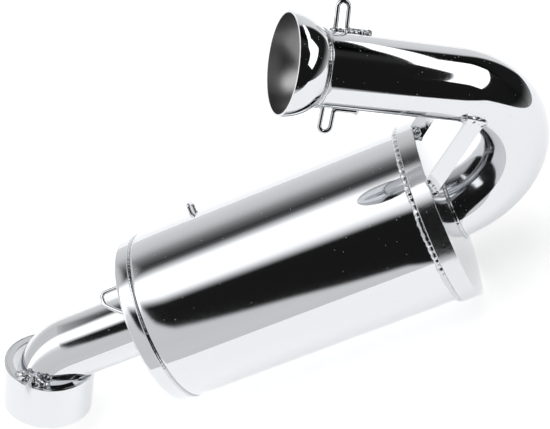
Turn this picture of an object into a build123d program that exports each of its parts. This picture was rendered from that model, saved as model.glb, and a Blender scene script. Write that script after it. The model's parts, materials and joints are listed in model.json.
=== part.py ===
from build123d import *

import os
from math import cos, radians, sin, sqrt

# A welded steel exhaust muffler. Millimetres. +X runs along the can from the outlet end to the
# inlet end, +Z is the side the inlet bend rises to, and the origin is the middle of the can's axis.

# ---- driving dimensions -------------------------------------------------------------------------
can_radius = 63.5
can_length = 209.0          # shell between the two end caps
can_gauge = 1.2
tube_radius = 24.0          # inlet and outlet tube, outside
tube_gauge = 1.6
seam_bead_width = 4.0
seam_bead_height = 0.6

inlet_cap_radius = 66.0
inlet_cap_depth = 12.4
inlet_cap_crown = 6.0       # how far the pressed face rises at its middle
inlet_cap_gauge = 2.5
inlet_bend_radius = 65.5
inlet_bend_angle = 140.0
inlet_arm_length = 93.0     # straight tube from the bend to the socket
socket_radius = 33.0        # outside of the ball socket
socket_gauge = 1.6

outlet_cap_depth = 11.7
outlet_cap_corner = 3.0
outlet_cap_gauge = 1.6
outlet_offset = 3.8         # outlet tube above the can's axis, away from its bend
outlet_lean = 17.0          # outlet bend leans this far from straight down, towards -Y
outlet_run = 65.6           # straight tube from the cap to the bend
outlet_bend_radius = 36.0
outlet_bend_angle = 57.0
collar_radius = 34.0
collar_height = 37.4
collar_gauge = 1.6
collar_hole_radius = 27.4
collar_insertion = 14.1     # outlet tube inside the collar

wire_radius = 1.95
wire_sink = 0.3             # how far a wire is let into the tube it is welded to
spring_loop_tail = 16.0
weld_side = -1              # the side of each loop that its weld is on
# Each spring loop: its turn around the arm from the outside of the bend towards +Y, its place
# back along the arm from the socket's mouth, its height off the arm, and its legs' spacing.
upper_loop_shape = (28.0, 34.4, 18.5, 6.4)
lower_loop_shape = (235.0, 36.5, 18.5, 5.2)

strap_width = 13.5
strap_gauge = 2.0
strap_angle = 44.0
strap_length = 98.0
strap_foot_height = 57.0

cap_loop_place = 57.0        # height of the cap loop's upper leg above the axis
cap_loop_height = 13.0
can_loop_place = -57.0
can_loop_turn = 44.0         # around the can from +Y
can_loop_height = 6.0
hanger_loop_pitch = 12.0
hanger_wire_radius = 1.7
collar_tack_turn = 124.0     # around the collar

core_hole_radius = 2.0
core_hole_pitch = 8.0
core_drills_per_row = 5
inlet_core_start = 16.0
baffle_gauge = 1.6           # the baffle between the chambers is at x = 0
outlet_baffle_place = -30.0
outlet_core_end = -24.0
packing_start = -103.0
transfer_tube_radius = 12.5
transfer_tube_gauge = 1.2
transfer_circle_radius = 38.5
transfer_tube_count = 3
transfer_tube_length = 40.0

# ---- worked out ---------------------------------------------------------------------------------
can_inside = can_radius - can_gauge
tube_inside = tube_radius - tube_gauge
can_end = can_length / 2
inlet_face = can_end + inlet_cap_depth
outlet_face = -can_end - outlet_cap_depth
inlet_tube_start = inlet_face - 30
outlet_tube_start = outlet_face + 20
socket_length = sqrt(socket_radius**2 - tube_radius**2)

inlet_plane = Plane(origin=(0, 0, 0), x_dir=(1, 0, 0), z_dir=(0, -1, 0))
lean = radians(outlet_lean)
down = Vector(0, -sin(lean), -cos(lean))
outlet_centre = Vector(outlet_face, 0, 0) - down * outlet_offset
outlet_plane = Plane(origin=outlet_centre, x_dir=(-1, 0, 0), z_dir=Vector(-1, 0, 0).cross(down))


def bent_path(plane, start, bend_at, bend_radius, bend_angle, last_run):
    """Straight, arc, straight, drawn in a plane along its x direction and bending to its y."""
    arc = JernArc(start=(bend_at, 0), tangent=(1, 0), radius=bend_radius, arc_size=bend_angle)
    path = Line((start, 0), (bend_at, 0)) + arc
    if last_run > 0:
        path += Line(arc @ 1, arc @ 1 + (arc % 1) * last_run)
    return plane * path


def rod(path, radius):
    """A solid round bar along a path."""
    return sweep(Plane(origin=path @ 0, z_dir=path % 0) * Circle(radius), path=path)


def ring(inner, outer, start, length, plane=Plane.YZ):
    """A round sleeve along a plane's normal."""
    return extrude(plane.offset(start) * (Circle(outer) - Circle(inner)), length)


def turned(points):
    """A solid turned about X from a closed outline of (x, radius) points."""
    outline = make_face(Polyline(*points, close=True))
    return revolve(Plane.XZ * outline, Axis.X)


def in_frame(plane, shape):
    return plane * shape


def largest(shape):
    """The biggest solid of a cut shape."""
    return max(shape.solids(), key=lambda solid: solid.volume)


def write(name, shape):
    """Write one node: a single solid, or a group of them."""
    pieces = shape if isinstance(shape, list) else [shape]
    solids = [solid for piece in pieces for solid in piece.solids()]
    result = solids[0] if len(solids) == 1 else Compound(children=list(solids))
    export_step(result, "parts/" + name + ".step")


# ---- inlet side ---------------------------------------------------------------------------------
inlet_path = bent_path(
    inlet_plane, inlet_tube_start, inlet_face, inlet_bend_radius, inlet_bend_angle, inlet_arm_length
)
inlet_rod = rod(inlet_path, tube_radius)
inlet_bore = rod(inlet_path, tube_inside)
inlet_tube = inlet_rod - inlet_bore

arm_end = inlet_path @ 1
arm_direction = inlet_path % 1
mouth_centre = arm_end + arm_direction * socket_length
# The arm's own frame: its z runs out of the mouth, its x points away from the can.
arm_outward = Vector(0, 1, 0).cross(arm_direction).normalized()
mouth_plane = Plane(origin=mouth_centre, x_dir=arm_outward, z_dir=arm_direction)


def inlet_cap():
    """Pressed cap: a skirt over the end of the can, a sharp rim and a crowned face."""
    skirt = ring(can_radius, inlet_cap_radius, can_end, inlet_cap_depth - inlet_cap_gauge)
    crown = make_face(
        Polyline((inlet_face, inlet_cap_radius), (inlet_face - inlet_cap_gauge, inlet_cap_radius),
                 (inlet_face - inlet_cap_gauge, 0))
        + Line((inlet_face - inlet_cap_gauge, 0), (inlet_face + inlet_cap_crown, 0))
        + ThreePointArc((inlet_face + inlet_cap_crown, 0),
                        (inlet_face + inlet_cap_crown * 0.74, inlet_cap_radius / 2),
                        (inlet_face, inlet_cap_radius))
    )
    hollow = make_face(
        Polyline((inlet_face - inlet_cap_gauge, inlet_cap_radius - 8),
                 (inlet_face - inlet_cap_gauge, 0),
                 (inlet_face + inlet_cap_crown - inlet_cap_gauge, 0))
        + ThreePointArc((inlet_face + inlet_cap_crown - inlet_cap_gauge, 0),
                        (inlet_face + inlet_cap_crown * 0.74 - inlet_cap_gauge, inlet_cap_radius / 2 - 4),
                        (inlet_face - inlet_cap_gauge, inlet_cap_radius - 8))
    )
    face = revolve(Plane.XZ * crown, Axis.X) - revolve(Plane.XZ * hollow, Axis.X)
    return skirt + face - inlet_rod


def inlet_bell():
    """Ball socket: part of a sphere centred in the mouth, ending on the arm's outside."""
    length = socket_length
    outer = Sphere(socket_radius)
    inner = Sphere(socket_radius - socket_gauge)
    keep = Pos(0, 0, -length / 2) * Cylinder(socket_radius + 1, length)
    neck = Cylinder(tube_inside, 4 * length)
    return in_frame(mouth_plane, (outer - inner) & keep) - in_frame(mouth_plane, neck)


def bell_weld():
    """Bead in the corner where the socket meets the arm."""
    plane = mouth_plane.offset(-socket_length)
    bead = in_frame(plane, Torus(tube_radius + 0.4, 1.2))
    return bead - inlet_rod - in_frame(mouth_plane, Sphere(socket_radius)) \
        - in_frame(mouth_plane, Cylinder(tube_radius, 4 * socket_length))


def spring_loop_wire(turn, place, height, pitch):
    """Bent wire: a foot beside the socket, an eye standing off the arm, a tail along the arm."""
    centre = tube_radius + wire_radius - wire_sink
    near = -place + pitch / 2
    far = -place - pitch / 2
    top = tube_radius + height
    eye_bend = pitch / 2 - 0.05
    # x is away from the arm, z is along it
    path = FilletPolyline(
        (tube_inside, 0, near), (top, 0, near), (top, 0, far), (centre, 0, far), (centre, 0, far - spring_loop_tail),
        radius=[eye_bend, eye_bend, wire_radius + 0.6],
    )
    return in_frame(mouth_plane, Rot(0, 0, turn) * rod(path, wire_radius))


def loop_welds(turn, place, height, pitch):
    """Weld lumps at the foot and along the tail of one spring loop, all on one side of it."""
    near = -place + pitch / 2
    far = -place - pitch / 2
    lumps = []
    for centre, size in ((near, 3.2), (far - 5.6, 2.8), (far - 12.4, 3.0)):
        lump = Pos(tube_radius + 0.2, weld_side * wire_radius, centre) * Sphere(size)
        beside = Pos(tube_radius, weld_side * (wire_radius + 10), centre) * Box(20, 20, 20)
        lump = in_frame(mouth_plane, Rot(0, 0, turn) * (lump & beside)) - inlet_rod
        lumps.append(largest(lump))
    return lumps


def strap(side):
    """Flat bar standing in a plane beside the tube, from the cap's rim to the bend's flank."""
    bar = Pos(strap_length / 2 - strap_width, 0, 0) * Box(strap_length, strap_width, strap_gauge)
    flat = Plane(origin=(inlet_face, 0, strap_foot_height), x_dir=(1, 0, 0), z_dir=(0, -1, 0))
    bar = Pos(0, side * (tube_radius + strap_gauge / 2), 0) * (flat * (Rot(0, 0, strap_angle) * bar))
    clear = Pos(inlet_face - 100, 0, 0) * Box(200, 200, 200)
    return bar - clear - inlet_rod - inlet_cap_solid


def strap_welds(side):
    """Lumps where a strap meets the cap's rim and the bend."""
    angle = radians(strap_angle)
    top = strap_length - strap_width - 5
    foot = Pos(inlet_face + 1, side * (tube_radius + 1), strap_foot_height + 1) * Sphere(4.2)
    head = Pos(
        inlet_face + top * cos(angle), side * (tube_radius + 1), strap_foot_height + top * sin(angle)
    ) * Sphere(5.0)
    outside = Pos(0, side * (tube_radius + strap_gauge + 10), 0) * Box(1000, 20, 1000)
    return [largest((foot & outside) - cap_envelope), largest((head & outside) - inlet_rod)]


inlet_cap_solid = inlet_cap()
cap_envelope = Pos(inlet_face - 50, 0, 0) * Rot(0, 90, 0) * Cylinder(inlet_cap_radius, 100) + inlet_cap_solid
inlet_bell_solid = inlet_bell()
upper_wire = spring_loop_wire(*upper_loop_shape)
lower_wire = spring_loop_wire(*lower_loop_shape)
straps = {side: strap(side) for side in (-1, 1)}

crown_at_tube = inlet_cap_crown * (1 - (tube_radius / inlet_cap_radius) ** 2)
inlet_tube_weld = turned([
    (inlet_face + crown_at_tube - 2, tube_radius - 1),
    (inlet_face + crown_at_tube + 2.2, tube_radius - 1),
    (inlet_face + crown_at_tube + 2.2, tube_radius + 0.4),
    (inlet_face + crown_at_tube - 1.0, tube_radius + 3.2),
    (inlet_face + crown_at_tube - 2, tube_radius + 3.2),
]) - inlet_cap_solid - inlet_rod
inlet_tube_weld -= Pos(inlet_face - 50, 0, 0) * Box(100, 200, 200)
inlet_tube_weld = max(inlet_tube_weld.solids(), key=lambda s: s.bounding_box().max.X)

inlet_cap_weld = turned([
    (can_end - 4.2, can_radius), (can_end, can_radius), (can_end, inlet_cap_radius - 0.2),
    (can_end - 1.6, inlet_cap_radius - 0.3), (can_end - 3.4, can_radius + 1.5),
])

# ---- can ----------------------------------------------------------------------------------------
can_shell = ring(can_inside, can_radius, -can_end, can_length + inlet_cap_depth - inlet_cap_gauge)
bead = Pos(0, 0, -can_radius) * Rot(0, 90, 0) * Cylinder(seam_bead_width / 2, can_length - 14)
can_seam_weld = bead & ring(can_radius, can_radius + seam_bead_height, -can_end, can_length)
can_seam_weld = Rot(-40, 0, 0) * can_seam_weld

# ---- outlet side --------------------------------------------------------------------------------
outlet_path = bent_path(
    outlet_plane, outlet_face - outlet_tube_start, outlet_run, outlet_bend_radius, outlet_bend_angle, 0
)
outlet_rod = rod(outlet_path, tube_radius)
collar_direction = outlet_path % 1
collar_top = outlet_path @ 1 - collar_direction * collar_insertion
collar_plane = Plane(origin=collar_top, x_dir=collar_direction.cross(Vector(0, 1, 0)), z_dir=collar_direction)
# The tube is dressed flush with the collar where its bend would stand out past the collar.
flush_cut = ring(collar_radius, 2 * collar_radius, -0.5, collar_height, collar_plane)
outlet_tube = outlet_rod - rod(outlet_path, tube_inside) - flush_cut


def outlet_cap():
    """Shallow pressed cap: a short skirt in line with the shell, a rounded corner, a flat face."""
    def cup(radius, corner, start, depth):
        body = Pos(start - depth / 2, 0, 0) * Rot(0, 90, 0) * Cylinder(radius, depth)
        return fillet(body.edges().group_by(Axis.X)[0], corner)
    gauge = outlet_cap_gauge
    outer = cup(can_radius, outlet_cap_corner, -can_end, outlet_cap_depth)
    inner = cup(can_radius - gauge, outlet_cap_corner - gauge, -can_end, outlet_cap_depth - gauge)
    return outer - inner - outlet_rod


outlet_cap_solid = outlet_cap()
outlet_cap_weld = turned([
    (-can_end - 1.6, can_radius), (-can_end + 1.6, can_radius),
    (-can_end + 0.9, can_radius + 0.8), (-can_end - 0.9, can_radius + 0.8),
])
outlet_tube_weld = Pos(outlet_centre) * (Rot(0, 90, 0) * Torus(tube_radius + 0.6, 2.4))
outlet_tube_weld -= Pos(outlet_face + 50, 0, 0) * Box(100, 200, 200)
outlet_tube_weld -= outlet_rod

outlet_collar = ring(collar_radius - collar_gauge, collar_radius, 0, collar_height, collar_plane) - outlet_rod
collar_top_ring = ring(
    collar_hole_radius, collar_radius - collar_gauge, 0, collar_gauge, collar_plane
) - outlet_rod


def collar_tack_welds():
    """Two lumps side by side that hold the tube to the collar's top ring."""
    lumps = []
    for turn, size in ((collar_tack_turn - 11, 4.8), (collar_tack_turn + 9, 5.4)):
        lump = Rot(0, 0, turn) * Pos(tube_radius + 4.5, 0, -0.5) * Sphere(size)
        lumps.append(in_frame(collar_plane, lump))
    above = in_frame(collar_plane, Pos(0, 0, -20) * Box(200, 200, 40))
    return largest(((lumps[0] + lumps[1]) & above) - outlet_rod)


def hanger_loop(points, bend_radii):
    """A short wire loop through the given corners."""
    return rod(FilletPolyline(*points, radius=bend_radii), hanger_wire_radius)


cap_loop = hanger_loop(
    [
        (outlet_face + 0.2, -6, cap_loop_place),
        (outlet_face - cap_loop_height, -6, cap_loop_place),
        (outlet_face - cap_loop_height, -15, cap_loop_place - 1.5),
        (outlet_face + 0.2, -26, cap_loop_place - 6.5),
    ],
    [4.0, 3.4],
) - outlet_cap_solid

half_pitch = hanger_loop_pitch / 2
can_loop = hanger_loop(
    [
        (0, -half_pitch, can_radius - 2),
        (0, -half_pitch, can_radius + can_loop_height),
        (0, half_pitch, can_radius + can_loop_height),
        (0, half_pitch, can_radius - 2),
    ],
    [half_pitch - 0.1, half_pitch - 0.1],
)
can_loop = Pos(can_loop_place, 0, 0) * Rot(can_loop_turn - 90, 0, 0) * can_loop
can_loop -= Rot(0, 90, 0) * Cylinder(can_radius, can_length)


# ---- inside -------------------------------------------------------------------------------------
def bar_along_x(radius, start, length, y=0.0, z=0.0):
    """A round solid along X."""
    return Pos(start + length / 2, y, z) * Rot(0, 90, 0) * Cylinder(radius, length)


def perforated(start, length, centre):
    """A length of tube drilled all round in staggered rows."""
    body = Pos(0, centre.Y, centre.Z) * ring(tube_inside, tube_radius, start, length)
    rows = int(length / core_hole_pitch)
    drills = []
    for row in range(rows):
        x = start + core_hole_pitch * (row + 0.5)
        for turn in range(core_drills_per_row):
            angle = 180 / core_drills_per_row * (turn + 0.5 * (row % 2))
            drills.append(Pos(x, centre.Y, centre.Z) * Rot(angle, 0, 0)
                          * Cylinder(core_hole_radius, 4 * tube_radius))
    return body - drills


inlet_core = perforated(inlet_core_start, inlet_tube_start - inlet_core_start, Vector(0, 0, 0))
inlet_core_plug = bar_along_x(tube_radius, inlet_core_start - baffle_gauge, baffle_gauge)
outlet_core = perforated(outlet_tube_start, outlet_core_end - outlet_tube_start, outlet_centre)

transfer_tubes = []
inlet_baffle = bar_along_x(can_inside, -baffle_gauge / 2, baffle_gauge)
for index in range(transfer_tube_count):
    turn = radians(90 + 360 / transfer_tube_count * index)
    y = transfer_circle_radius * cos(turn)
    z = transfer_circle_radius * sin(turn)
    outer = bar_along_x(transfer_tube_radius, -transfer_tube_length / 2, transfer_tube_length, y, z)
    inner = bar_along_x(
        transfer_tube_radius - transfer_tube_gauge, -transfer_tube_length / 2, transfer_tube_length, y, z
    )
    transfer_tubes.append(outer - inner)
    inlet_baffle -= outer

core_bar = bar_along_x(tube_radius, -can_end, can_length, outlet_centre.Y, outlet_centre.Z)
outlet_baffle = bar_along_x(can_inside, outlet_baffle_place - baffle_gauge, baffle_gauge) - core_bar
packing_end = outlet_baffle_place - baffle_gauge
packing_mat = bar_along_x(can_inside, packing_start, packing_end - packing_start) - core_bar

# ---- write --------------------------------------------------------------------------------------
nodes = {
    "can_shell": can_shell,
    "can_seam_weld": can_seam_weld,
    "inlet_cap": inlet_cap_solid,
    "inlet_cap_weld": inlet_cap_weld,
    "inlet_tube": inlet_tube,
    "inlet_tube_weld": inlet_tube_weld,
    "inlet_bell": inlet_bell_solid,
    "bell_weld": bell_weld(),
    "upper_spring_loop": upper_wire - inlet_rod,
    "lower_spring_loop": lower_wire - inlet_rod,
    "upper_loop_welds": loop_welds(*upper_loop_shape),
    "lower_loop_welds": loop_welds(*lower_loop_shape),
    "left_strap": straps[-1],
    "right_strap": straps[1],
    "left_strap_welds": strap_welds(-1),
    "right_strap_welds": strap_welds(1),
    "outlet_cap": outlet_cap_solid,
    "outlet_cap_weld": outlet_cap_weld,
    "outlet_tube": outlet_tube,
    "outlet_tube_weld": outlet_tube_weld,
    "outlet_collar": outlet_collar,
    "collar_top_ring": collar_top_ring,
    "collar_tack_welds": collar_tack_welds(),
    "cap_loop": cap_loop,
    "can_loop": can_loop,
    "inlet_core": inlet_core,
    "inlet_core_plug": inlet_core_plug,
    "inlet_baffle": inlet_baffle,
    "transfer_tubes": transfer_tubes,
    "outlet_baffle": outlet_baffle,
    "outlet_core": outlet_core,
    "packing_mat": packing_mat,
}
os.makedirs("parts", exist_ok=True)
for name, shape in nodes.items():
    write(name, shape)
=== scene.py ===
import json
from math import atan2, cos, pi, radians, sin, sqrt

import bmesh
import bpy
from mathutils import Matrix, Vector, noise


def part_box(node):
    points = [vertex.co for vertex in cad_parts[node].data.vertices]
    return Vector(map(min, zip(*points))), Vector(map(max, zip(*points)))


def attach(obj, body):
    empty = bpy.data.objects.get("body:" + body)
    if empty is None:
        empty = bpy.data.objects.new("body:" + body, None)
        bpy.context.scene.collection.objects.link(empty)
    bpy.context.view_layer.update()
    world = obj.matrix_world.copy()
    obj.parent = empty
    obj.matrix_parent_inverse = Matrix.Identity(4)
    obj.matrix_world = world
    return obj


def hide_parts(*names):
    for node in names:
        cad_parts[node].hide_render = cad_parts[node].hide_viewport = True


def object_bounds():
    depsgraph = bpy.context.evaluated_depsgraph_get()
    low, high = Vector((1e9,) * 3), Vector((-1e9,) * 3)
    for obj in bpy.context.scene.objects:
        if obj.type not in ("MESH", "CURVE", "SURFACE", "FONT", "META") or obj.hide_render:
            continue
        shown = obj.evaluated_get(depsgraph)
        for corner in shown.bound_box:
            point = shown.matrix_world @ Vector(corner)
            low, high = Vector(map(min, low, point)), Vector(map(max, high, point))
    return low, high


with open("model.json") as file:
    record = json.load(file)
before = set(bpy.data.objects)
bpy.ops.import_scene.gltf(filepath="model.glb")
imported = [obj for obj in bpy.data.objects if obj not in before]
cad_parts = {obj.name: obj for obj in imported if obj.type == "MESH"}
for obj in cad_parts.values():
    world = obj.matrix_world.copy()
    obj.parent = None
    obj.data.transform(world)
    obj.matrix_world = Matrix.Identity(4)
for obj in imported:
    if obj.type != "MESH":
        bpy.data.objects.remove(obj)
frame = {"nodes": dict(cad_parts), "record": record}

# A chrome-plated welded steel silencer. Metres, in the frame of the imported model.

MM = 0.001
cad_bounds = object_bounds()
mounts = {mount["name"]: mount for mount in frame["record"]["mounts"]}

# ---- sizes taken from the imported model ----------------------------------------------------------
can_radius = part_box("can_shell")[1].z
can_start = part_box("outlet_cap")[1].x
can_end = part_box("inlet_cap")[0].x
outlet_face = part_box("outlet_cap")[0].x
cap_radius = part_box("inlet_cap")[1].z
cap_crown_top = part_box("inlet_cap")[1].x
inlet_cap_depth = 12.4 * MM
inlet_cap_gauge = 2.5 * MM
inlet_tube_insertion = 30 * MM      # inlet tube inside the cap's face
inlet_face = can_end + inlet_cap_depth
cap_clearance = 0.05 * MM           # between the can and the cap's skirt
can_gauge = 1.2 * MM
tube_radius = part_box("inlet_tube")[1].y
tube_gauge = 1.6 * MM
inlet_bend_radius = 65.5 * MM
inlet_bend_angle = radians(140)
arm = mounts["inlet_arm_bore"]
arm_direction = Vector(arm["axis"]).normalized()
arm_length = arm["dims"]["length_mm"] * MM
arm_end = Vector(arm["pos_m"]) + arm_direction * arm_length / 2
socket_radius = 33 * MM
socket_gauge = 1.6 * MM
socket_length = sqrt(socket_radius**2 - tube_radius**2)
mouth_centre = arm_end + arm_direction * socket_length
outlet_offset = 3.8 * MM
outlet_lean = radians(17)
outlet_run = 65.6 * MM
outlet_bend_radius = 36 * MM
outlet_bend_angle = radians(57)
outlet_tube_insertion = 20 * MM
outlet_cap_gauge = 1.6 * MM
collar = mounts["outlet_collar"]
collar_direction = Vector(collar["axis"]).normalized()
collar_radius = collar["dims"]["r_mm"] * MM
collar_height = collar["dims"]["length_mm"] * MM
collar_gauge = 1.6 * MM
collar_top = Vector(collar["pos_m"]) - collar_direction * collar_height / 2
collar_hole_radius = 27.4 * MM
wire_radius = 1.6 * MM
wire_sink = 0.3 * MM        # how far a wire is let into the tube it is welded to
spring_loop_pitch = 7.4 * MM
spring_loop_place = 35 * MM # back along the arm from the socket's mouth
spring_loop_tail = 15 * MM
spring_loop_root = 1.2 * MM # how deep its foot goes into the arm
spring_loop_corner = 2.6 * MM
upper_loop_turn = radians(28)
lower_loop_turn = radians(222)
ROUND = 192                 # facets round the can and its caps
TUBE_ROUND = 128            # facets round a tube


# ---- placing ------------------------------------------------------------------------------------
def axes(origin, x_axis, z_axis):
    """A matrix that stands a piece made along Z at a place, with Z and X turned to these."""
    z_axis = z_axis.normalized()
    y_axis = z_axis.cross(x_axis).normalized()
    x_axis = y_axis.cross(z_axis)
    turn = Matrix((x_axis, y_axis, z_axis)).transposed().to_4x4()
    return Matrix.Translation(origin) @ turn


ALONG_X = axes(Vector((0, 0, 0)), Vector((0, 0, 1)), Vector((1, 0, 0)))
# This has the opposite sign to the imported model's, so the spring loops stand half a turn round from
# the ones they replace.
arm_outward = arm_direction.cross(Vector((0, 1, 0))).normalized()
AT_MOUTH = axes(mouth_centre, arm_outward, arm_direction)
AT_COLLAR = axes(collar_top, collar_direction.cross(Vector((0, 1, 0))), collar_direction)


# ---- node helper and colours --------------------------------------------------------------------
def colour(code):
    """Linear colour from an sRGB hex code."""
    parts = [int(code[i:i + 2], 16) / 255 for i in (1, 3, 5)]
    return [part / 12.92 if part <= 0.04045 else ((part + 0.055) / 1.055) ** 2.4 for part in parts] + [1]


def add(tree, kind, settings=None, inputs=None):
    """Add a node with its settings; an input is a value or another node's socket."""
    node = tree.nodes.new(kind)
    for name, value in (settings or {}).items():
        setattr(node, name, value)
    for name, value in (inputs or {}).items():
        if isinstance(value, bpy.types.NodeSocket):
            tree.links.new(value, node.inputs[name])
        else:
            node.inputs[name].default_value = value
    return node


def maths(tree, operation, first, second=0.0):
    return add(tree, "ShaderNodeMath", {"operation": operation}, {0: first, 1: second}).outputs[0]


def smooth_range(tree, value, low, high, to_low=0.0, to_high=1.0):
    return add(
        tree, "ShaderNodeMapRange", {"interpolation_type": "SMOOTHSTEP"},
        {"Value": value, "From Min": low, "From Max": high, "To Min": to_low, "To Max": to_high},
    ).outputs[0]


def ramp(tree, value, stops):
    """A grey ramp from (place, brightness) stops."""
    node = add(tree, "ShaderNodeValToRGB", {}, {"Fac": value})
    elements = node.color_ramp.elements
    while len(elements) < len(stops):
        elements.new(0.5)
    for element, (place, level) in zip(elements, stops):
        element.position = place
        element.color = (level, level, level, 1)
    return node.outputs["Color"]


def metal(name, code, roughness, wave_mm, wave_height_mm, grit_mm, grit_height_mm,
          grit_roughness=0.0, scratch_mm=0.0, pits=0.0):
    """A plated or bare steel: a slow wave in the sheet, a fine grit, and scratches or pits."""
    pit_spacing_mm = 2.6
    pit_size = 0.10             # share of the spacing
    pit_roughness = 0.45
    material = bpy.data.materials.new(name)
    material.use_nodes = True
    tree = material.node_tree
    tree.nodes.clear()
    place = add(tree, "ShaderNodeTexCoord").outputs["Object"]
    wave = add(tree, "ShaderNodeTexNoise", {}, {
        "Vector": place, "Scale": 1 / (wave_mm * MM), "Detail": 2.0, "Roughness": 0.4,
    }).outputs["Fac"]
    grit_scale = [1 / (grit_mm * MM)] * 3
    if scratch_mm:
        grit_scale = [1 / (scratch_mm * MM), 1 / (grit_mm * MM), 1 / (grit_mm * MM)]
    stretched = add(tree, "ShaderNodeMapping", {}, {"Vector": place, "Scale": grit_scale}).outputs[0]
    grit = add(tree, "ShaderNodeTexNoise", {}, {
        "Vector": stretched, "Scale": 1.0, "Detail": 3.0, "Roughness": 0.6,
    }).outputs["Fac"]
    shader = add(tree, "ShaderNodeBsdfPrincipled", {}, {"Base Color": colour(code), "Metallic": 1.0})
    rough = smooth_range(tree, grit, 0.35, 0.75, roughness, roughness + grit_roughness)
    if pits:
        dust = add(tree, "ShaderNodeTexVoronoi", {}, {"Vector": place, "Scale": 1 / (pit_spacing_mm * MM)})
        chosen = maths(tree, "LESS_THAN", dust.outputs["Distance"], pit_size)
        seed = add(tree, "ShaderNodeSeparateColor", {}, {"Color": dust.outputs["Color"]}).outputs[0]
        few = maths(tree, "LESS_THAN", seed, pits)
        pit = maths(tree, "MULTIPLY", chosen, few)
        rough = maths(tree, "ADD", rough, maths(tree, "MULTIPLY", pit, pit_roughness))
    tree.links.new(rough, shader.inputs["Roughness"])
    bump = add(tree, "ShaderNodeBump", {}, {
        "Strength": 1.0, "Distance": wave_height_mm * MM, "Height": wave,
    })
    fine = add(tree, "ShaderNodeBump", {}, {
        "Strength": 1.0, "Distance": grit_height_mm * MM, "Height": grit, "Normal": bump.outputs[0],
    })
    tree.links.new(fine.outputs[0], shader.inputs["Normal"])
    out = add(tree, "ShaderNodeOutputMaterial")
    tree.links.new(shader.outputs[0], out.inputs["Surface"])
    return material


# Bright nickel-chrome plate on polished sheet: a mirror with a faint wave and dust pits.
chrome_sheet = metal("bright_chrome_plate", "#D9DBDE", 0.045, 45, 0.012, 0.7, 0.0006, 0.03, pits=0.16)
# Bright chrome on drawn and bent tube: a little more wave and more pits than the sheet.
chrome_tube = metal("bright_chrome_tube", "#D8DADD", 0.04, 22, 0.014, 0.6, 0.0008, 0.03, pits=0.34)
# Chrome over a cap that was ground near its rim: fine lines run round it.
chrome_ground = metal(
    "ground_chrome_plate", "#D4D6D8", 0.10, 12, 0.02, 0.5, 0.004, 0.10, scratch_mm=6, pits=0.2
)
# Chrome over a rough weld bead: shiny lumps with grit.
chrome_weld = metal("chrome_over_weld", "#C9CBCE", 0.09, 1.6, 0.12, 0.5, 0.02, 0.12)
# Chrome on bent wire.
chrome_wire = metal("chrome_wire", "#D2D4D7", 0.07, 5, 0.02, 0.4, 0.002, 0.05)
# The wiped inside of the socket: chrome thins out to a dull satin.
satin_inside = metal("satin_socket_inside", "#9A9A9A", 0.28, 9, 0.02, 0.5, 0.006, 0.12, scratch_mm=5)
# Bare bore of the tubes, dark with oxide.
bore_steel = metal("oxidised_bore_steel", "#77757A", 0.32, 8, 0.02, 0.6, 0.006, 0.1)
# Bare mild steel inside the can.
raw_steel = metal("bare_mild_steel", "#8D8F91", 0.35, 10, 0.02, 0.5, 0.006, 0.12)


def fibre(name, code, strand_code):
    """Loose glass fibre: pale, matt, with strands of a second colour."""
    material = bpy.data.materials.new(name)
    material.use_nodes = True
    tree = material.node_tree
    tree.nodes.clear()
    place = add(tree, "ShaderNodeTexCoord").outputs["Object"]
    strands = add(tree, "ShaderNodeTexNoise", {}, {
        "Vector": place, "Scale": 1 / (1.5 * MM), "Detail": 6.0, "Distortion": 3.0,
    }).outputs["Fac"]
    shade = add(tree, "ShaderNodeMix", {"data_type": "RGBA"}, {"Factor": strands})
    shade.inputs[6].default_value = colour(code)
    shade.inputs[7].default_value = colour(strand_code)
    shader = add(tree, "ShaderNodeBsdfPrincipled", {}, {"Roughness": 0.95})
    tree.links.new(shade.outputs[2], shader.inputs["Base Color"])
    bump = add(tree, "ShaderNodeBump", {}, {"Strength": 1.0, "Distance": 0.5 * MM, "Height": strands})
    tree.links.new(bump.outputs[0], shader.inputs["Normal"])
    out = add(tree, "ShaderNodeOutputMaterial")
    tree.links.new(shader.outputs[0], out.inputs["Surface"])
    return material


packing_fibre = fibre("loose_glass_fibre", "#B9B098", "#EDE6D2")


# ---- mesh helpers -------------------------------------------------------------------------------
def piece(name, bm, materials, nodes, matrix=None, bevel=0.0, gauge=0.0, remesh=0.0):
    """Finish a mesh as an object: normals, walls, small edge radii, material and its CAD nodes."""
    bmesh.ops.remove_doubles(bm, verts=bm.verts, dist=0.002 * MM)
    if matrix is not None:
        bmesh.ops.transform(bm, matrix=matrix, verts=bm.verts)
    bmesh.ops.recalc_face_normals(bm, faces=bm.faces)
    mesh = bpy.data.meshes.new(name)
    bm.to_mesh(mesh)
    bm.free()
    for material in materials:
        mesh.materials.append(material)
    for polygon in mesh.polygons:
        polygon.use_smooth = True
    thing = bpy.data.objects.new(name, mesh)
    bpy.context.scene.collection.objects.link(thing)
    if gauge:
        wall = thing.modifiers.new("wall", "SOLIDIFY")
        wall.thickness = gauge
        wall.offset = -1
        wall.use_even_offset = True
        wall.material_offset = len(materials) - 1
    if remesh:
        fuse = thing.modifiers.new("fuse", "REMESH")
        fuse.mode = "VOXEL"
        fuse.voxel_size = remesh
        fuse.use_smooth_shade = True
        soften = thing.modifiers.new("soften", "SMOOTH")
        soften.factor = 0.5
        soften.iterations = 2
    if bevel:
        edge = thing.modifiers.new("edge", "BEVEL")
        edge.width = bevel
        edge.segments = 3
        edge.limit_method = "ANGLE"
        edge.angle_limit = radians(35)
        edge.harden_normals = True
    if nodes:
        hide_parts(*nodes)
    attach(thing, "root")
    return thing


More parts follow.
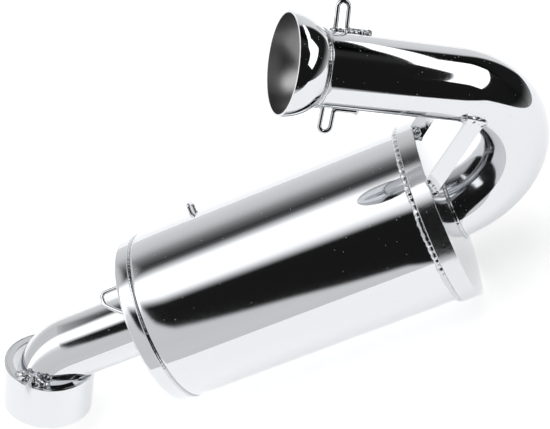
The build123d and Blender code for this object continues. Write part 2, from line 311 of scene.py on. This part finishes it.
def lathe(profile, closed=True, steps=ROUND):
    """Spin an outline of (along, radius) points, in metres, round Z."""
    bm = bmesh.new()
    verts = [bm.verts.new((radius, 0, along)) for along, radius in profile]
    pairs = list(zip(verts, verts[1:]))
    if closed:
        pairs.append((verts[-1], verts[0]))
    edges = [bm.edges.new(pair) for pair in pairs]
    bmesh.ops.spin(
        bm, geom=verts + edges, cent=(0, 0, 0), axis=(0, 0, 1), angle=2 * pi, steps=steps,
        use_merge=True, use_duplicate=False,
    )
    return bm


def straight(vector, count=1):
    return ("straight", Vector(vector), count)


def bend(centre, axis, angle, steps):
    return ("bend", Vector(centre), Vector(axis), angle, steps)


def swept(start, direction, radius, parts, around=TUBE_ROUND, capped=False):
    """A round bar or tube skin that follows straight runs and bends."""
    bm = bmesh.new()
    side = Vector((0, 1, 0)) if abs(direction.normalized().y) < 0.9 else Vector((1, 0, 0))
    bmesh.ops.create_circle(
        bm, cap_ends=capped, segments=around, radius=radius, matrix=axes(start, side, direction)
    )
    edges = bm.edges[:]
    for part in parts:
        if part[0] == "straight":
            for _ in range(part[2]):
                grown = bmesh.ops.extrude_edge_only(bm, edges=edges)["geom"]
                verts = [g for g in grown if isinstance(g, bmesh.types.BMVert)]
                edges = [g for g in grown if isinstance(g, bmesh.types.BMEdge)]
                bmesh.ops.translate(bm, verts=verts, vec=part[1] / part[2])
        else:
            verts = list({vert for edge in edges for vert in edge.verts})
            turned = bmesh.ops.spin(
                bm, geom=verts + edges, cent=part[1], axis=part[2], angle=part[3], steps=part[4],
                use_duplicate=False,
            )["geom_last"]
            edges = [g for g in turned if isinstance(g, bmesh.types.BMEdge)]
    if capped:
        bmesh.ops.edgenet_fill(bm, edges=edges)
    return bm


def ripple(bm, matrix, ring_radius, pitch, height, rough, seed):
    """Raise a bead's ripples and lumps along its run round Z, before it is placed."""
    count = round(2 * pi * ring_radius / pitch)
    for vert in bm.verts:
        angle = atan2(vert.co.y, vert.co.x)
        ring = Vector((cos(angle), sin(angle), 0)) * ring_radius
        outward = vert.co - ring
        wobble = noise.noise(Vector((cos(angle), sin(angle), seed)) * 6) * 2.4
        crest = abs(sin(angle * count / 2 + wobble))
        lumps = noise.noise(vert.co * 420 + Vector((seed, 0, 0)))
        broad = noise.noise(vert.co * 110 + Vector((0, seed, 0)))
        vert.co += outward.normalized() * (height * crest + rough * lumps + rough * 1.4 * broad)
    bmesh.ops.transform(bm, matrix=matrix, verts=bm.verts)


def bead(name, matrix, ring_radius, thickness, pitch, height, rough, seed, nodes, flat=1.0, along=0.0):
    """A rippled weld bead round Z."""
    bm = bmesh.new()
    bmesh.ops.create_circle(
        bm, segments=14, radius=thickness,
        matrix=Matrix.Translation((ring_radius, 0, 0)) @ Matrix.Rotation(pi / 2, 4, "X"),
    )
    bmesh.ops.scale(bm, vec=(flat, 1, 1), verts=bm.verts, space=Matrix.Translation((-ring_radius, 0, 0)))
    bmesh.ops.spin(
        bm, geom=bm.verts[:] + bm.edges[:], cent=(0, 0, 0), axis=(0, 0, 1), angle=2 * pi,
        steps=int(2 * pi * ring_radius / (0.55 * MM)), use_merge=True, use_duplicate=False,
    )
    bmesh.ops.remove_doubles(bm, verts=bm.verts, dist=0.002 * MM)
    ripple(bm, matrix @ Matrix.Translation((0, 0, along)), ring_radius, pitch, height, rough, seed)
    return piece(name, bm, [chrome_weld], nodes)


def lump(name, blobs, nodes, seed=0.0, matrix=None):
    """Weld metal in fused blobs: each is (centre, radius, stretch along X, Y, Z)."""
    bm = bmesh.new()
    for centre, radius, stretch in blobs:
        made = bmesh.ops.create_icosphere(bm, subdivisions=3, radius=radius)["verts"]
        bmesh.ops.scale(bm, vec=stretch, verts=made)
        for vert in made:
            grain = noise.noise(vert.co * 520 + Vector(centre) * 900 + Vector((seed, 0, 0)))
            vert.co += vert.co.normalized() * grain * radius * 0.35
        bmesh.ops.translate(bm, vec=centre, verts=made)
    return piece(name, bm, [chrome_weld], nodes, matrix=matrix, remesh=0.32 * MM)


# ---- can ----------------------------------------------------------------------------------------
can_skin = can_radius - can_gauge
shrink = 0.45 * MM          # the ends draw in where they were welded
draw_in_length = 20 * MM    # of the can, at each end
can_steps = 60
reach_in_cap = 9.9 * MM     # how far the can runs inside the inlet cap's skirt


def can_outline():
    """Outer and inner lines of the rolled can, drawn in a little towards each end."""
    places = [can_start + (can_end - can_start) * k / can_steps for k in range(can_steps + 1)]
    outer = []
    for place in places:
        from_end = max(0.0, abs(place) - (can_end - draw_in_length)) / draw_in_length
        outer.append((place, can_radius - shrink * from_end**2))
    inner_end = can_end + reach_in_cap
    return outer + [
        (inner_end, can_radius - shrink), (inner_end, can_skin - shrink), (can_start, can_skin - shrink),
    ]


piece("rolled_can", lathe(can_outline()), [chrome_sheet], ["can_shell"], ALONG_X)

# ---- inlet cap ----------------------------------------------------------------------------------
crown = cap_crown_top - inlet_face
crown_points = 14


def crown_at(radius):
    """Height of the pressed face above its rim."""
    return crown * (1 - (radius / cap_radius) ** 2) ** 0.9


face_line = [
    (inlet_face + crown_at(cap_radius * k / crown_points), cap_radius * k / crown_points)
    for k in range(crown_points, 4, -1)
]
inner_line = [(along - inlet_cap_gauge, radius) for along, radius in reversed(face_line[1:])]
cap_profile = [(can_end, can_radius + cap_clearance), (can_end, cap_radius)] + face_line + inner_line
cap_profile += [(inlet_face - inlet_cap_gauge, can_radius + cap_clearance)]
piece("pressed_inlet_cap", lathe(cap_profile), [chrome_ground], ["inlet_cap"],
      ALONG_X, bevel=0.5 * MM)

# ---- inlet tube ---------------------------------------------------------------------------------
tube_start = inlet_face - inlet_tube_insertion
bend_centre = Vector((inlet_face, 0, inlet_bend_radius))
inlet_tube_bm = swept(
    Vector((tube_start, 0, 0)), Vector((1, 0, 0)), tube_radius,
    [
        straight((inlet_face - tube_start, 0, 0), 4),
        bend(bend_centre, (0, -1, 0), inlet_bend_angle, 84),
        straight(arm_direction * arm_length, 24),
    ],
)
piece("bent_inlet_tube", inlet_tube_bm, [chrome_tube, bore_steel], ["inlet_tube"],
      gauge=tube_gauge)
bead("inlet_tube_bead", ALONG_X, tube_radius + 0.6 * MM, 1.3 * MM, 3.2 * MM, 0.12 * MM, 0.12 * MM, 3.0,
     ["inlet_tube_weld"], along=inlet_face + crown_at(tube_radius) + 0.1 * MM)

# ---- socket -------------------------------------------------------------------------------------
socket = bmesh.new()
bmesh.ops.create_uvsphere(socket, u_segments=ROUND, v_segments=96, radius=socket_radius)
for height, side in ((0.0, 1), (-socket_length, -1)):
    bmesh.ops.bisect_plane(
        socket, geom=socket.verts[:] + socket.edges[:] + socket.faces[:], plane_co=(0, 0, height),
        plane_no=(0, 0, side), clear_outer=True,
    )
piece("ball_socket", socket, [chrome_tube, satin_inside], ["inlet_bell"], AT_MOUTH,
      gauge=socket_gauge, bevel=0.35 * MM)
bead("socket_bead", AT_MOUTH, tube_radius + 0.3 * MM, 1.1 * MM, 2.4 * MM, 0.1 * MM, 0.1 * MM, 5.0,
     ["bell_weld"], along=-socket_length - 0.4 * MM)


# ---- spring loops and their welds ---------------------------------------------------------------
def spring_loop(name, turn, height, node):
    """Bent wire standing off the arm, with a tail along it."""
    near = -spring_loop_place + spring_loop_pitch / 2
    far = near - spring_loop_pitch
    low = tube_radius + wire_radius - wire_sink
    top = tube_radius + height
    eye = spring_loop_pitch / 2
    foot = spring_loop_corner
    bm = swept(
        Vector((tube_radius - spring_loop_root, 0, near)), Vector((1, 0, 0)), wire_radius,
        [
            straight((top - eye - tube_radius + spring_loop_root, 0, 0), 4),
            bend((top - eye, 0, near - eye), (0, 1, 0), pi, 24),
            straight((-(top - eye - low - foot), 0, 0), 4),
            bend((low + foot, 0, far - foot), (0, -1, 0), pi / 2, 10),
            straight((0, 0, -(spring_loop_tail - foot)), 4),
        ],
        around=28, capped=True,
    )
    turned = AT_MOUTH @ Matrix.Rotation(turn, 4, "Z")
    return piece(name, bm, [chrome_wire], [node], turned, bevel=0.3 * MM)


def loop_lumps(name, turn, node, seed):
    """Weld lumps beside the loop's foot and along its tail."""
    near = -31.3 * MM
    base = tube_radius + 0.1 * MM
    blobs = [
        ((base, -1.6 * MM, near + 0.8 * MM), 2.5 * MM, (0.8, 1.1, 1.0)),
        ((base, 1.0 * MM, near + 1.6 * MM), 2.0 * MM, (0.7, 1.1, 1.0)),
        ((base, -1.8 * MM, near - 3.6 * MM), 2.2 * MM, (0.7, 1.1, 1.3)),
        ((base, -2.0 * MM, near - 8.2 * MM), 2.6 * MM, (0.8, 1.1, 1.2)),
        ((base, -1.7 * MM, near - 12.4 * MM), 2.3 * MM, (0.8, 1.1, 1.2)),
        ((base, -2.1 * MM, near - 16.6 * MM), 2.7 * MM, (0.8, 1.1, 1.1)),
        ((base, -1.2 * MM, near - 20.6 * MM), 2.5 * MM, (0.8, 1.1, 1.1)),
        ((base + 1.4 * MM, -0.6 * MM, near - 22.4 * MM), 2.0 * MM, (1.0, 1.0, 1.0)),
    ]
    return lump(name, blobs, [node], seed, AT_MOUTH @ Matrix.Rotation(turn, 4, "Z"))


spring_loop("upper_wire_loop", upper_loop_turn, 16.5 * MM, "upper_spring_loop")
spring_loop("lower_wire_loop", lower_loop_turn, 18.5 * MM, "lower_spring_loop")
loop_lumps("upper_loop_lumps", upper_loop_turn, "upper_loop_welds", 1.0)
loop_lumps("lower_loop_lumps", lower_loop_turn, "lower_loop_welds", 7.0)

# ---- straps -------------------------------------------------------------------------------------
strap_length = 80 * MM
strap_width = 13.5 * MM
strap_gauge = 2.0 * MM
strap_angle = radians(44)
strap_foot = 57 * MM
strap_head_mm = 62           # the upper weld, up the strap from its foot


def strap(name, side, node):
    """Flat bar from the cap's rim to the flank of the bend."""
    bm = bmesh.new()
    bmesh.ops.create_cube(bm, size=1)
    bmesh.ops.scale(bm, vec=(strap_length, strap_gauge, strap_width), verts=bm.verts)
    bmesh.ops.translate(bm, vec=(strap_length / 2 - strap_width, 0, 0), verts=bm.verts)
    bmesh.ops.rotate(bm, matrix=Matrix.Rotation(-strap_angle, 3, "Y"), verts=bm.verts)
    bmesh.ops.translate(
        bm, vec=(inlet_face, side * (tube_radius + strap_gauge / 2), strap_foot), verts=bm.verts
    )
    cut = bmesh.ops.bisect_plane(
        bm, geom=bm.verts[:] + bm.edges[:] + bm.faces[:], plane_co=(inlet_face, 0, 0),
        plane_no=(-1, 0, 0), clear_outer=True,
    )
    bmesh.ops.edgenet_fill(bm, edges=[g for g in cut["geom_cut"] if isinstance(g, bmesh.types.BMEdge)])
    return piece(name, bm, [chrome_tube], [node], bevel=0.35 * MM)


def strap_lumps(name, side, node, seed):
    """Weld lumps at both ends of a strap."""
    foot = Vector((inlet_face, side * tube_radius, strap_foot))
    along = Vector((cos(strap_angle), 0, sin(strap_angle)))
    head = foot + along * strap_head_mm * MM
    across = Vector((-sin(strap_angle), 0, cos(strap_angle)))
    blobs = []
    for step in (-1.0, -0.35, 0.3, 0.9):
        blobs.append((foot + Vector((1.2 * MM, side * 1.5 * MM, step * 6.2 * MM)), 2.7 * MM, (0.9, 1.0, 1.1)))
    blobs.append((foot + Vector((2.6 * MM, -side * 1.0 * MM, 2.0 * MM)), 2.4 * MM, (1.0, 1.0, 1.0)))
    for step in (-1.0, -0.4, 0.25, 0.9):
        place = head + along * (3 * MM - abs(step) * 2 * MM) + across * step * 6.4 * MM
        blobs.append((place - Vector((0, side * 0.6 * MM, 0)), 2.9 * MM, (1.1, 0.9, 1.1)))
    return lump(name, blobs, [node], seed)


strap("left_brace_strap", -1, "left_strap")
strap("right_brace_strap", 1, "right_strap")
strap_lumps("left_strap_lumps", -1, "left_strap_welds", 11.0)
strap_lumps("right_strap_lumps", 1, "right_strap_welds", 13.0)

# ---- weld between the can and the inlet cap -----------------------------------------------------
bead("inlet_cap_bead", ALONG_X, can_radius + 0.2 * MM, 2.1 * MM, 4.6 * MM, 0.35 * MM, 0.42 * MM, 17.0,
     ["inlet_cap_weld"], flat=0.8, along=can_end - 1.7 * MM)

# ---- outlet cap ---------------------------------------------------------------------------------
corner = 3 * MM
corner_points = 8
outlet_hole = tube_radius - 2 * MM
outlet_profile = [(can_start, can_radius)]
for k in range(corner_points + 1):
    angle = pi / 2 * k / corner_points
    outlet_profile.append((
        outlet_face + corner - corner * sin(angle), can_radius - corner + corner * cos(angle)
    ))
outlet_profile += [
    (outlet_face, outlet_hole), (outlet_face + outlet_cap_gauge, outlet_hole),
    (outlet_face + outlet_cap_gauge, can_radius - corner),
    (outlet_face + corner, can_radius - outlet_cap_gauge),
    (can_start, can_radius - outlet_cap_gauge),
]
piece("pressed_outlet_cap", lathe(outlet_profile), [chrome_sheet], ["outlet_cap"],
      ALONG_X, bevel=0.15 * MM)
bead("outlet_cap_bead", ALONG_X, can_radius - 0.6 * MM, 1.1 * MM, 3.0 * MM, 0.06 * MM, 0.08 * MM, 19.0,
     ["outlet_cap_weld"], along=can_start)

# ---- outlet tube and collar ---------------------------------------------------------------------
down = Vector((0, -sin(outlet_lean), -cos(outlet_lean)))
outlet_centre = Vector((outlet_face, 0, 0)) - down * outlet_offset
outlet_start = outlet_centre + Vector((outlet_tube_insertion, 0, 0))
bend_start = outlet_centre + Vector((-outlet_run, 0, 0))
outlet_tube_bm = swept(
    outlet_start, Vector((-1, 0, 0)), tube_radius,
    [
        straight((-outlet_run - outlet_tube_insertion, 0, 0), 16),
        bend(
            bend_start + down * outlet_bend_radius, Vector((-1, 0, 0)).cross(down), outlet_bend_angle, 40
        ),
    ],
)
piece("bent_outlet_tube", outlet_tube_bm, [chrome_tube, bore_steel], ["outlet_tube"],
      gauge=tube_gauge)
bead("outlet_tube_bead", Matrix.Translation(outlet_centre) @ ALONG_X, tube_radius + 0.8 * MM, 1.8 * MM,
     3.4 * MM, 0.15 * MM, 0.15 * MM, 23.0, ["outlet_tube_weld"], along=-0.3 * MM)
collar_inside = collar_radius - collar_gauge
piece(
    "outlet_collar_sleeve",
    lathe([(0, collar_radius), (collar_height, collar_radius), (collar_height, collar_inside),
           (0, collar_inside)]),
    [chrome_sheet], ["outlet_collar"], AT_COLLAR, bevel=0.4 * MM,
)
piece(
    "collar_closing_ring",
    lathe([(0, collar_inside), (collar_gauge, collar_inside), (collar_gauge, collar_hole_radius),
           (0, collar_hole_radius)]),
    [chrome_sheet], ["collar_top_ring"], AT_COLLAR, bevel=0.4 * MM,
)


def collar_lumps():
    """Two big fused lumps that bridge the tube and the collar's ring."""
    blobs = []
    for turn, reach, size in ((100, 27.5, 3.0), (107, 28.5, 3.6), (115, 26.5, 4.2), (124, 26.0, 4.4),
                              (133, 26.5, 4.3), (141, 27.0, 3.8), (148, 28.0, 3.0), (119, 29.5, 3.2),
                              (137, 29.5, 3.0)):
        angle = radians(turn)
        centre = Vector((cos(angle) * reach, sin(angle) * reach, -0.8)) * MM
        blobs.append((centre, size * MM, (1.0, 1.0, 0.85)))
    return lump("collar_tack_lumps", blobs, ["collar_tack_welds"], 29.0, AT_COLLAR)


collar_lumps()


# ---- hanger loops -------------------------------------------------------------------------------
def wire_curve(name, points, node):
    """A smooth round wire through given control points, in millimetres."""
    data = bpy.data.curves.new(name, "CURVE")
    data.dimensions = "3D"
    data.bevel_depth = wire_radius
    data.bevel_resolution = 6
    data.resolution_u = 12
    data.use_fill_caps = True
    spline = data.splines.new("NURBS")
    spline.points.add(len(points) - 1)
    for point, place in zip(spline.points, points):
        point.co = (*(Vector(place) * MM), 1)
    spline.order_u = 3
    spline.use_endpoint_u = True
    data.materials.append(chrome_wire)
    wire = bpy.data.objects.new(name, data)
    bpy.context.scene.collection.objects.link(wire)
    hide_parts(node)
    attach(wire, "root")
    return wire


face = outlet_face / MM
wire_curve("cap_hanger_loop", [
    (face + 0.6, -6, 57), (face - 8, -6, 57), (face - 13.4, -6.5, 57), (face - 13.4, -13, 55.8),
    (face - 11.5, -17, 54.4), (face + 0.6, -26, 50.5),
], "cap_loop")
loop_turn = radians(44)
stand = Vector((0, cos(loop_turn), sin(loop_turn)))
across = Vector((0, -sin(loop_turn), cos(loop_turn)))
loop_points = []
for side, height in ((-6, -0.6), (-6, 3), (-6, 6.6), (6, 6.6), (6, 3), (6, -0.6)):
    loop_points.append(Vector((-57, 0, 0)) + stand * (can_radius / MM + height) + across * side)
wire_curve("can_hanger_loop", loop_points, "can_loop")

# ---- carried-over nodes -------------------------------------------------------------------------
inner_finish = {
    "can_seam_weld": chrome_weld,
    "inlet_core": raw_steel,
    "inlet_core_plug": raw_steel,
    "inlet_baffle": raw_steel,
    "transfer_tubes": raw_steel,
    "outlet_baffle": raw_steel,
    "outlet_core": raw_steel,
    "packing_mat": packing_fibre,
}
for node, material in inner_finish.items():
    for material_slot in frame["nodes"][node].material_slots:
        material_slot.material = material


# ---- studio -------------------------------------------------------------------------------------
def emitter(name, strength):
    material = bpy.data.materials.new(name)
    material.use_nodes = True
    tree = material.node_tree
    tree.nodes.clear()
    glow = add(tree, "ShaderNodeEmission", {}, {"Color": (1, 1, 1, 1), "Strength": strength})
    out = add(tree, "ShaderNodeOutputMaterial")
    tree.links.new(glow.outputs[0], out.inputs["Surface"])
    return material


def floor_paint():
    """White paper that is also lit from within, so shadows on it stay faint."""
    material = bpy.data.materials.new("white_paper_sweep")
    material.use_nodes = True
    tree = material.node_tree
    tree.nodes.clear()
    paper = add(tree, "ShaderNodeBsdfPrincipled", {}, {
        "Base Color": colour("#F4F4F4"), "Roughness": 0.9, "Specular IOR Level": 0.1,
        "Emission Color": (1, 1, 1, 1), "Emission Strength": 0.62,
    })
    out = add(tree, "ShaderNodeOutputMaterial")
    tree.links.new(paper.outputs[0], out.inputs["Surface"])
    return material


def sheet_of(name, corners, material):
    """One flat polygon, placed by its corners."""
    bm = bmesh.new()
    bm.faces.new([bm.verts.new(place) for place in corners])
    mesh = bpy.data.meshes.new(name)
    bm.to_mesh(mesh)
    bm.free()
    mesh.materials.append(material)
    thing = bpy.data.objects.new(name, mesh)
    bpy.context.scene.collection.objects.link(thing)
    return thing


floor_level = cad_bounds[0].z
sheet_of("paper_floor", [
    (-2.0, -0.50, floor_level), (0.44, -0.50, floor_level),
    (0.44, 2.0, floor_level), (-2.0, 2.0, floor_level),
], floor_paint())
card = sheet_of("strip_light", [
    (0.40, -0.23, 0.13), (0.40, 0.03, 0.165), (0.40, 0.09, 0.262), (0.40, 0.32, 0.27), (0.40, 0.32, 0.30),
    (0.40, 0.15, 0.315), (0.40, -0.03, 0.29), (0.40, -0.09, 0.25), (0.40, -0.23, 0.22),
], emitter("strip_light_glow", 2.0))
card.visible_camera = False
card.visible_diffuse = False
card.visible_shadow = False

# The room as the chrome sees it: white overhead, grey walls, a dark side behind the camera.
# Each stop is the angle round X in degrees (0 level towards +Y, 90 straight up) and brightness.
ROOM = (
    (-90, 0.85), (-33, 0.95), (0, 0.90), (23, 0.75), (31, 0.60), (39, 0.33), (47, 0.15), (55, 0.05),
    (60, 0.12), (66, 0.70), (71, 1.35), (76, 1.90), (95, 1.90), (103, 1.45), (110, 1.0), (122, 0.80),
    (165, 0.76), (180, 0.78), (213, 0.72), (222, 0.60), (250, 0.60), (270, 0.85),
)
ROOM_TOP = 2.0              # the brightest stop the ramp holds
# The lower edge of the dark side: height of the direction against its X.
DARK_EDGE = (
    (-1.0, 1.0), (-0.42, 0.95), (-0.36, 0.68), (-0.315, 0.54), (-0.285, 0.42), (-0.23, 0.24),
    (-0.17, 0.03), (-0.10, -0.12), (0.16, -0.41), (0.50, -0.52), (1.0, -0.54),
)


def studio_world():
    world = bpy.data.worlds.new("studio")
    bpy.context.scene.world = world
    world.use_nodes = True
    tree = world.node_tree
    tree.nodes.clear()
    direction = add(tree, "ShaderNodeTexCoord").outputs["Generated"]
    x, y, z = add(tree, "ShaderNodeSeparateXYZ", {}, {0: direction}).outputs
    angle = maths(tree, "ARCTAN2", z, y)
    turns = maths(tree, "FRACT", maths(tree, "ADD", maths(tree, "DIVIDE", angle, 2 * pi), 1.25))
    room = ramp(tree, turns, [((degrees + 90) / 360, level / ROOM_TOP) for degrees, level in ROOM])
    room = maths(tree, "MULTIPLY", room, ROOM_TOP)
    # The far dark band closes to light grey towards the outlet end.
    closed = smooth_range(tree, x, -0.40, -0.33, 1.0, 0.0)
    near_level = maths(tree, "MULTIPLY", closed, maths(tree, "LESS_THAN", z, 0.90))
    lifted = maths(tree, "MAXIMUM", room, maths(tree, "MULTIPLY", near_level, 0.75))
    # The dark side.
    across = add(tree, "ShaderNodeMath", {"operation": "MULTIPLY_ADD"}, {0: x, 1: 0.5, 2: 0.5}).outputs[0]
    edge_curve = add(tree, "ShaderNodeFloatCurve", {}, {"Factor": 1.0, "Value": across})
    points = edge_curve.mapping.curves[0].points
    while len(points) < len(DARK_EDGE):
        points.new(0.5, 0.5)
    for point, (across_x, height) in zip(points, DARK_EDGE):
        point.location = ((across_x + 1) / 2, (height + 1) / 2)
    edge_curve.mapping.update()
    edge = maths(tree, "SUBTRACT", maths(tree, "MULTIPLY", edge_curve.outputs[0], 2.0), 1.0)
    toward_x = maths(tree, "MAXIMUM", x, 0.0)
    width = maths(tree, "ADD", maths(tree, "MULTIPLY", toward_x, 0.16), 0.06)
    above = maths(tree, "DIVIDE", maths(tree, "SUBTRACT", z, edge), width)
    dark = smooth_range(tree, above, -1.0, 1.0)
    below_top = smooth_range(tree, z, 0.86, 0.94, 1.0, 0.0)
    this_side = smooth_range(tree, maths(tree, "SUBTRACT", toward_x, y), -0.08, 0.08)
    mask = maths(tree, "MULTIPLY", maths(tree, "MULTIPLY", dark, below_top), this_side)
    keep = maths(tree, "SUBTRACT", 1.0, maths(tree, "MULTIPLY", mask, 0.985))
    level = maths(tree, "MULTIPLY", lifted, keep)
    # The backdrop itself is plain white where the camera looks straight at it.
    straight_on = add(tree, "ShaderNodeLightPath").outputs["Is Camera Ray"]
    shown = maths(tree, "MAXIMUM", level, maths(tree, "MULTIPLY", straight_on, 1.05))
    light = add(tree, "ShaderNodeBackground", {}, {"Color": (1, 1, 1, 1), "Strength": shown})
    out = add(tree, "ShaderNodeOutputWorld")
    tree.links.new(light.outputs[0], out.inputs["Surface"])


studio_world()
bpy.context.scene.view_settings.view_transform = "Standard"
bpy.context.scene.view_settings.look = "None"

# ---- camera -------------------------------------------------------------------------------------
camera_lens_mm = 98.26
camera_shift = (-0.040, 0.0773)
camera_place = Vector((0.2367, -0.6628, 0.8246))
camera_right = Vector((0.9105, -0.15257, -0.38433))
camera_back = Vector((0.2167, -0.61555, 0.75772))
camera_data = bpy.data.cameras.new("camera")
camera_data.sensor_width = 36
camera_data.lens = camera_lens_mm
camera_data.shift_x, camera_data.shift_y = camera_shift
camera = bpy.data.objects.new("camera", camera_data)
bpy.context.scene.collection.objects.link(camera)
camera.matrix_world = axes(camera_place, camera_right, camera_back)
bpy.context.scene.camera = camera
